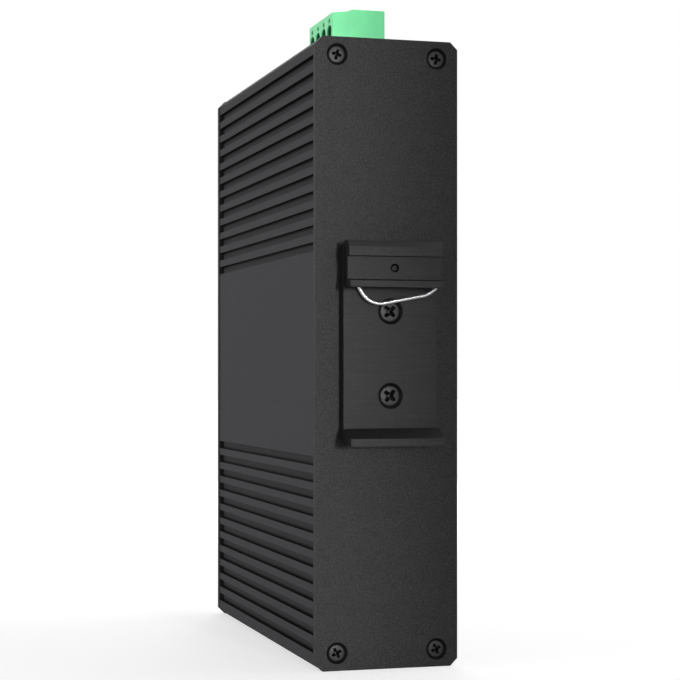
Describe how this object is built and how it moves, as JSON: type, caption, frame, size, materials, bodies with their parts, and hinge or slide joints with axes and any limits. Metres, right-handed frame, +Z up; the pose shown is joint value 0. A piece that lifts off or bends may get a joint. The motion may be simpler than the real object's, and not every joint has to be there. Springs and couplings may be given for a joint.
{
  "type": "din rail ethernet switch",
  "caption": "Slim network switch in a grooved black aluminium housing, with a spring-loaded mounting rail clip on its back and a pluggable green power terminal on top.",
  "frame": {"origin": "on the clip's face that seats on the rail, at mid-width of the clip and on the rail's centreline", "axes": "+Z up, +Y out of the rear plate towards the rail, +X along the rail towards the side that the picture shows"},
  "size_m": [0.0356, 0.111, 0.1624],
  "materials": {
    "sleeve_aluminium": "black anodised, satin",
    "plate_black": "black, fine grained",
    "clip_black": "black anodised, matte",
    "screw_black": "blackened",
    "spring_steel": "bright drawn wire",
    "plain_steel": "zinc plated",
    "board_green": "solder mask",
    "film_black": "matte film",
    "socket_black": "moulded",
    "contact_gold": "gold plated",
    "contact_tin": "tin plated",
    "lamp_clear": "clear tinted",
    "lamp_green": "clear tinted",
    "shield_tin": "tin plated sheet",
    "plug_green": "moulded, satin",
    "chip_black": "moulded",
    "pad_grey": "soft pad",
    "sink_aluminium": "black anodised",
    "ferrite_grey": "sintered",
    "can_aluminium": "drawn can"
  },
  "bodies": {
    "case": {"housing_sleeve": "sleeve_aluminium", "rear_plate": "plate_black", "front_plate": "plate_black", "rear_plate_screws": "screw_black", "front_plate_screws": "screw_black", "din_clip": "clip_black", "clip_pin": "clip_black", "clip_screws": "screw_black", "clip_nuts": "plain_steel", "earth_screw": "plain_steel", "earth_washer": "plain_steel", "main_board": "board_green", "insulating_film": "film_black", "port_block_lower": "socket_black", "port_block_upper": "socket_black", "port_contacts_lower": "contact_gold", "port_contacts_upper": "contact_gold", "port_lamps_lower": "lamp_clear", "port_lamps_upper": "lamp_clear", "port_shield_lower": "shield_tin", "port_shield_upper": "shield_tin", "status_lamps": "lamp_green", "lamp_holder": "socket_black", "terminal_header": "plug_green", "header_pins": "contact_tin", "switch_chip": "chip_black", "heat_pad": "pad_grey", "heat_sink": "sink_aluminium", "magnetics": "chip_black", "inductors": "ferrite_grey", "capacitors": "can_aluminium", "fuse": "chip_black", "crystal": "can_aluminium"},
    "plug": {"terminal_plug": "plug_green", "plug_contacts": "contact_tin"},
    "rail_spring": {"clip_spring": "spring_steel"},
    "clamp_screw_1": {"clamp_screw_1": "plain_steel"},
    "clamp_cage_1": {"clamp_cage_1": "plain_steel"},
    "clamp_screw_2": {"clamp_screw_2": "plain_steel"},
    "clamp_cage_2": {"clamp_cage_2": "plain_steel"},
    "clamp_screw_3": {"clamp_screw_3": "plain_steel"},
    "clamp_cage_3": {"clamp_cage_3": "plain_steel"},
    "clamp_screw_4": {"clamp_screw_4": "plain_steel"},
    "clamp_cage_4": {"clamp_cage_4": "plain_steel"}
  },
  "joints": [
    {"name": "plug_pull", "type": "slide", "parent": "case", "child": "plug", "axis": [0, 0, 1], "range_m": [0, 0.012]},
    {"name": "rail_spring_press", "type": "slide", "parent": "case", "child": "rail_spring", "axis": [0, 0, 1], "range_m": [0, 0.0028], "stiffness_N_per_m": 1500},
    {"name": "clamp_screw_1_turn", "type": "hinge", "parent": "plug", "child": "clamp_screw_1", "pos_m": [0, -0.03113, 0.0829], "axis": [1, 0, 0], "range_deg": [-1440, 0]},
    {"name": "clamp_cage_1_rise", "type": "slide", "parent": "plug", "child": "clamp_cage_1", "axis": [1, 0, 0], "range_m": [0, 0.002]},
    {"name": "clamp_screw_2_turn", "type": "hinge", "parent": "plug", "child": "clamp_screw_2", "pos_m": [0, -0.03621, 0.0829], "axis": [1, 0, 0], "range_deg": [-1440, 0]},
    {"name": "clamp_cage_2_rise", "type": "slide", "parent": "plug", "child": "clamp_cage_2", "axis": [1, 0, 0], "range_m": [0, 0.002]},
    {"name": "clamp_screw_3_turn", "type": "hinge", "parent": "plug", "child": "clamp_screw_3", "pos_m": [0, -0.04129, 0.0829], "axis": [1, 0, 0], "range_deg": [-1440, 0]},
    {"name": "clamp_cage_3_rise", "type": "slide", "parent": "plug", "child": "clamp_cage_3", "axis": [1, 0, 0], "range_m": [0, 0.002]},
    {"name": "clamp_screw_4_turn", "type": "hinge", "parent": "plug", "child": "clamp_screw_4", "pos_m": [0, -0.04637, 0.0829], "axis": [1, 0, 0], "range_deg": [-1440, 0]},
    {"name": "clamp_cage_4_rise", "type": "slide", "parent": "plug", "child": "clamp_cage_4", "axis": [1, 0, 0], "range_m": [0, 0.002]}
  ],
  "couplings": [
    {"joint": "clamp_screw_1_turn", "follows": "clamp_cage_1_rise", "rad_per_m": -12566},
    {"joint": "clamp_screw_2_turn", "follows": "clamp_cage_2_rise", "rad_per_m": -12566},
    {"joint": "clamp_screw_3_turn", "follows": "clamp_cage_3_rise", "rad_per_m": -12566},
    {"joint": "clamp_screw_4_turn", "follows": "clamp_cage_4_rise", "rad_per_m": -12566}
  ]
}
